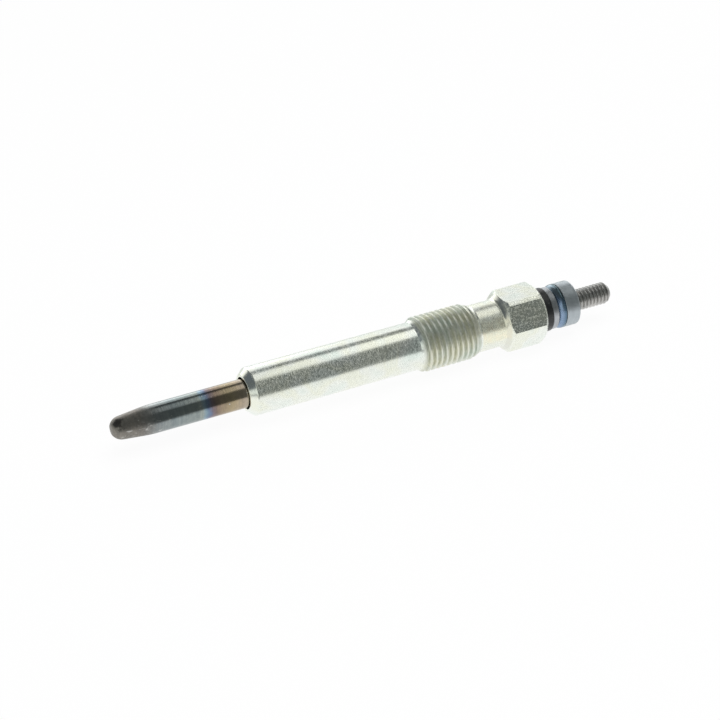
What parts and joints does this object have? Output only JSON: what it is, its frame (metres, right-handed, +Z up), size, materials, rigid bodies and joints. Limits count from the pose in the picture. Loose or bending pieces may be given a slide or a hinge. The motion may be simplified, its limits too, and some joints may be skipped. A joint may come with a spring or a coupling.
{
  "type": "diesel glow plug",
  "caption": "Slim screw-in glow plug: tapered heater tube, plated barrel with sealing cone, fine thread, hexagon, insulated terminal stack and threaded stud.",
  "frame": {"origin": "on the plug's axis, in the middle of the full-diameter stretch of the body thread", "axes": "+X along the axis to the terminal stud, so the glow tube points to -X; +Z up, with one flat of the hexagon facing straight down"},
  "size_m": [0.0939, 0.011, 0.01],
  "materials": {
    "zinc_plated_steel": "bright zinc plate over fine turning marks",
    "heat_tinted_alloy": "polished heat-resistant alloy with heat tints and a dull oxidised tip",
    "heater_wire": "bare drawn wire",
    "control_wire": "bare drawn wire",
    "magnesia": "packed white powder",
    "seal_rubber": "matt rubber",
    "dark_steel": "dark rolled steel thread",
    "black_plastic": "satin moulded plastic",
    "grey_steel": "dull grey steel",
    "blue_plastic": "smooth blue plastic",
    "blue_grey_steel": "blue-passivated satin steel"
  },
  "bodies": {
    "root": {"shell": "zinc_plated_steel", "glow_tube": "heat_tinted_alloy", "heating_coil": "heater_wire", "control_coil": "control_wire", "magnesia_filling": "magnesia", "tube_seal": "seal_rubber", "terminal_rod": "dark_steel", "ring_seal": "seal_rubber", "insulator": "black_plastic", "steel_washer": "grey_steel", "insulating_ring": "blue_plastic", "round_nut": "blue_grey_steel"}
  },
  "joints": []
}
